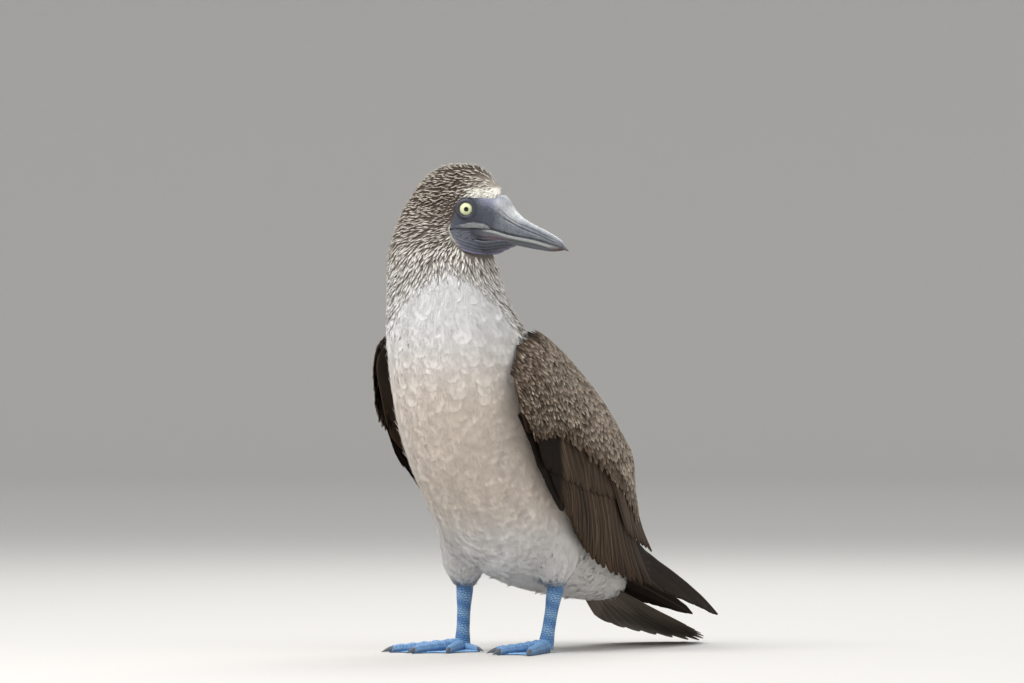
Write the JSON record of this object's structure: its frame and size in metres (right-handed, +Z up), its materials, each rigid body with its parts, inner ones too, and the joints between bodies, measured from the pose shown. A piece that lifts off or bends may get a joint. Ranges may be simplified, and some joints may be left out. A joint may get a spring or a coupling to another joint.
{
  "type": "blue-footed booby standing model",
  "caption": "Life-size still model of a blue-footed booby standing on webbed feet, head turned to its left, wings folded, tail laid back to the floor.",
  "frame": {"origin": "on the floor, under the middle of the model's bounding box", "axes": "+Z up, -Y the way the body and toes face, +X the bird's own left, the side to which the head is turned"},
  "size_m": [0.268, 0.4498, 0.466],
  "materials": {
    "streaked_plumage": "short pointed feathers, dark with cream tips",
    "white_plumage": "soft matt white body feathers",
    "brown_plumage": "matt dark brown flight feathers and coverts with pale tips",
    "bill": "satin blue-grey horn with long grooves",
    "throat": "bare wrinkled slate-purple skin",
    "eye": "clear gloss over a pale yellow iris",
    "blue_skin": "satin bright blue scaled skin"
  },
  "bodies": {
    "root": {"head": "streaked_plumage", "neck": "streaked_plumage", "torso": "white_plumage", "bill_upper": "bill", "bill_lower": "bill", "throat_skin": "throat", "eye_left": "eye", "eye_right": "eye", "tail": "brown_plumage", "wing_left": "brown_plumage", "thigh_left": "white_plumage", "shank_left": "blue_skin", "foot_left": "blue_skin", "wing_right": "brown_plumage", "thigh_right": "white_plumage", "shank_right": "blue_skin", "foot_right": "blue_skin"}
  },
  "joints": []
}
